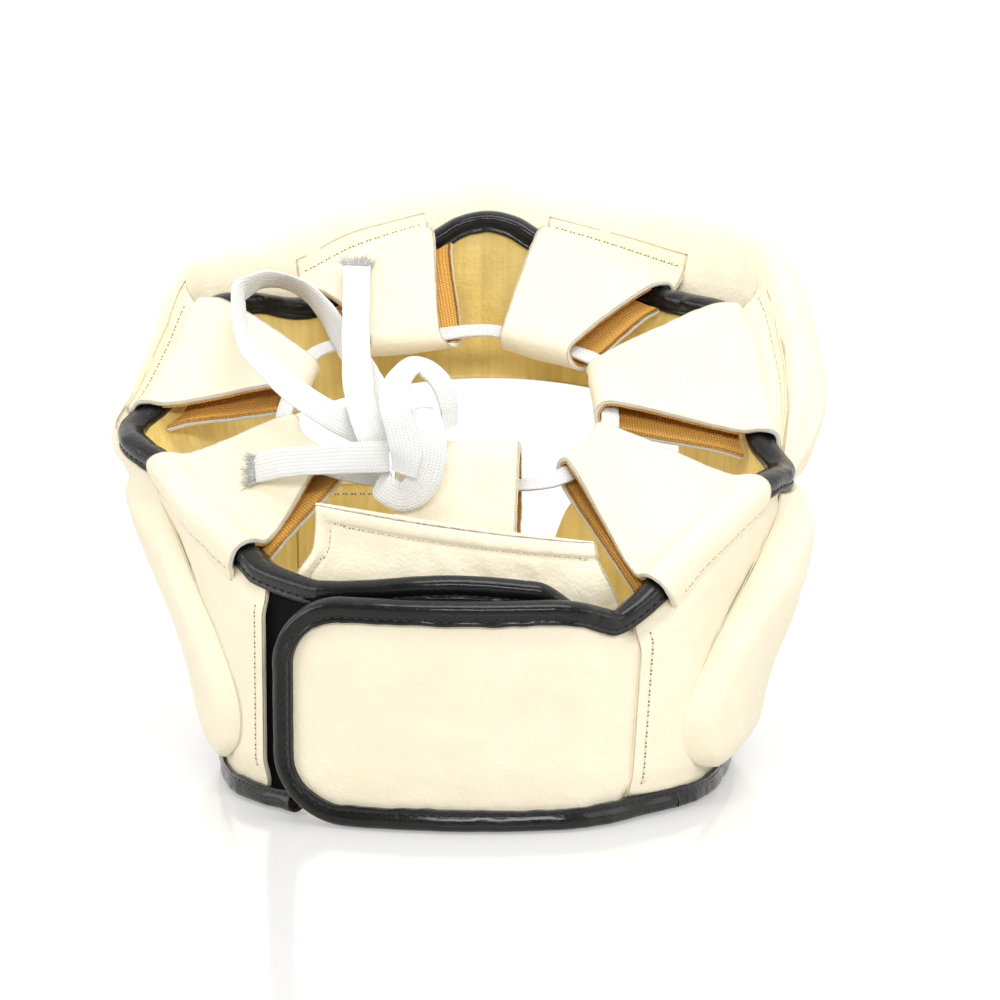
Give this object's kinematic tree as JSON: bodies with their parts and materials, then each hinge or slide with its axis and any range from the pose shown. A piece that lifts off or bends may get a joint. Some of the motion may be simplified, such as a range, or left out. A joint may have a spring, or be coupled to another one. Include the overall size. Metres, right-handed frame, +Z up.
{
  "type": "sparring headgear",
  "caption": "Padded leather sparring headgear with a laced open crown of strap flaps, bound edges, ear pads and a wrap-around hook-and-loop rear closure.",
  "frame": {"origin": "middle of the footprint of the headgear without its loose lace, on the surface it stands on", "axes": "+X the wearer's right, +Y the wearer's front, +Z up"},
  "size_m": [0.2624, 0.2496, 0.1999],
  "materials": {
    "cream_leather": "soft grained cream leather with a slight sheen",
    "lining_leather": "smooth yellowish lining leather",
    "black_leather": "black binding leather, semi-gloss",
    "fastener_fabric": "black hook-and-loop pile",
    "ochre_fabric": "ochre woven nylon",
    "white_lace": "white woven flat cotton lace"
  },
  "bodies": {
    "root": {"forehead_pad": "cream_leather", "ear_pad_left": "cream_leather", "ear_pad_right": "cream_leather", "wing_left": "cream_leather", "wing_right": "cream_leather", "closure_flap": "cream_leather", "loop_tab": "cream_leather", "back_tongue": "cream_leather", "strap_front_left": "cream_leather", "strap_front_right": "cream_leather", "strap_side_left": "cream_leather", "strap_side_right": "cream_leather", "strap_rear_left": "cream_leather", "strap_rear_right": "cream_leather", "strap_centre": "cream_leather", "inner_lining": "lining_leather", "cheek_lining_left": "lining_leather", "cheek_lining_right": "lining_leather", "crown_binding": "black_leather", "foot_binding_left": "black_leather", "foot_binding_right": "black_leather", "closure_binding": "black_leather", "tab_binding": "black_leather", "hook_patch": "fastener_fabric", "loop_panel": "fastener_fabric", "strap_front_left_fabric": "ochre_fabric", "strap_front_right_fabric": "ochre_fabric", "strap_side_left_fabric": "ochre_fabric", "strap_side_right_fabric": "ochre_fabric", "strap_rear_left_fabric": "ochre_fabric", "strap_rear_right_fabric": "ochre_fabric", "strap_centre_fabric": "ochre_fabric", "crown_lace": "white_lace", "lace_knot": "white_lace", "lace_bight": "white_lace", "lace_bow": "white_lace", "lace_end_up": "white_lace", "lace_end_left": "white_lace"}
  },
  "joints": []
}
